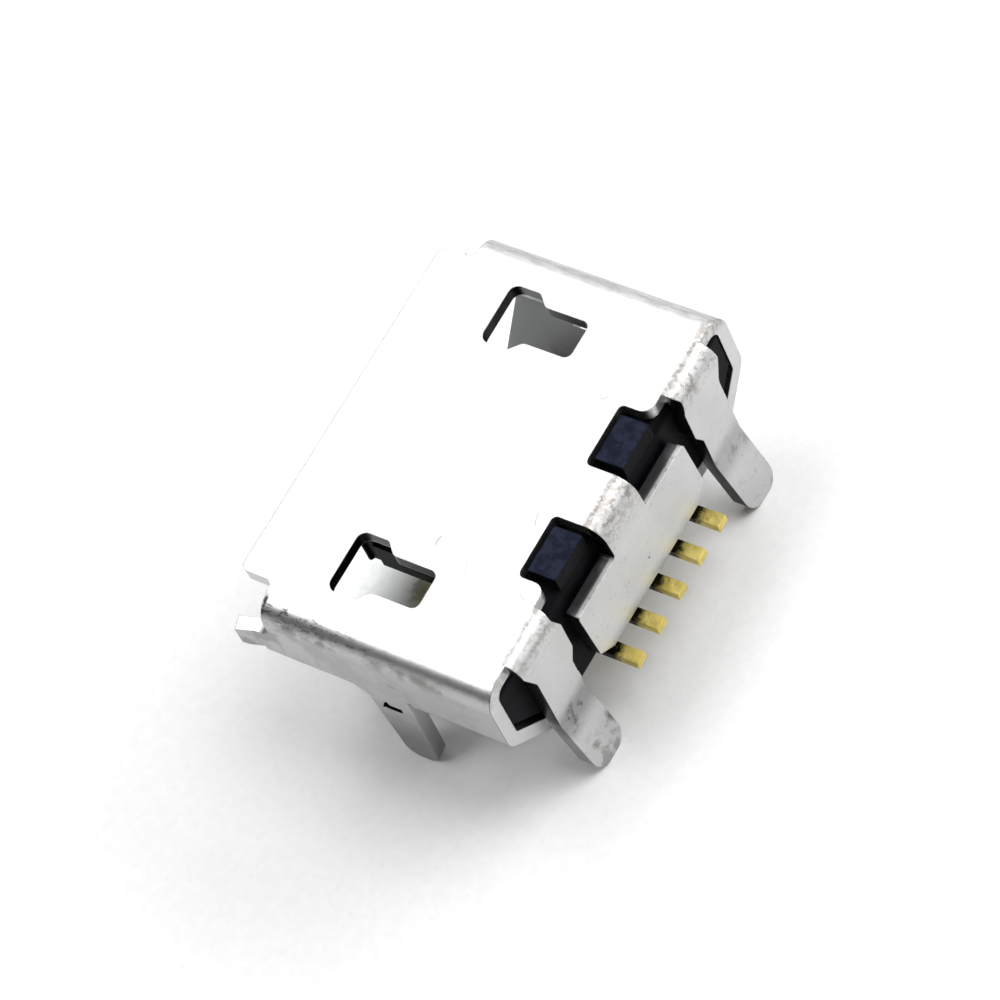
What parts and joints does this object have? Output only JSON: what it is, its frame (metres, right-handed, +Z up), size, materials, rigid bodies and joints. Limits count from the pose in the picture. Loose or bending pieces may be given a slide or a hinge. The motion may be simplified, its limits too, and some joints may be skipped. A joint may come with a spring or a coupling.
{
  "type": "micro usb socket",
  "caption": "Board-mounted micro USB socket: folded metal shell with latch windows, rear flaps and solder legs round a black tongue moulding with gold contacts and tails.",
  "frame": {"origin": "middle of the socket's bounding box in X and Y, at the tips of the four legs, which is the surface it stands on", "axes": "+Z is up, away from the board; the mouth faces -Y and the solder tails point to +Y; +X is the side that is nearer in the picture. The socket is symmetric across X."},
  "size_m": [0.0076, 0.0058, 0.0034],
  "materials": {
    "plated_steel": "bright tin plating, satin, scuffed along the bends and dull on the legs",
    "black_moulding": "moulded black plastic, smooth, slightly bluish",
    "gold_contacts": "thin gold plating, bright"
  },
  "bodies": {
    "root": {"shell": "plated_steel", "insulator": "black_moulding", "contact_vbus": "gold_contacts", "contact_data_minus": "gold_contacts", "contact_data_plus": "gold_contacts", "contact_id": "gold_contacts", "contact_ground": "gold_contacts"}
  },
  "joints": []
}
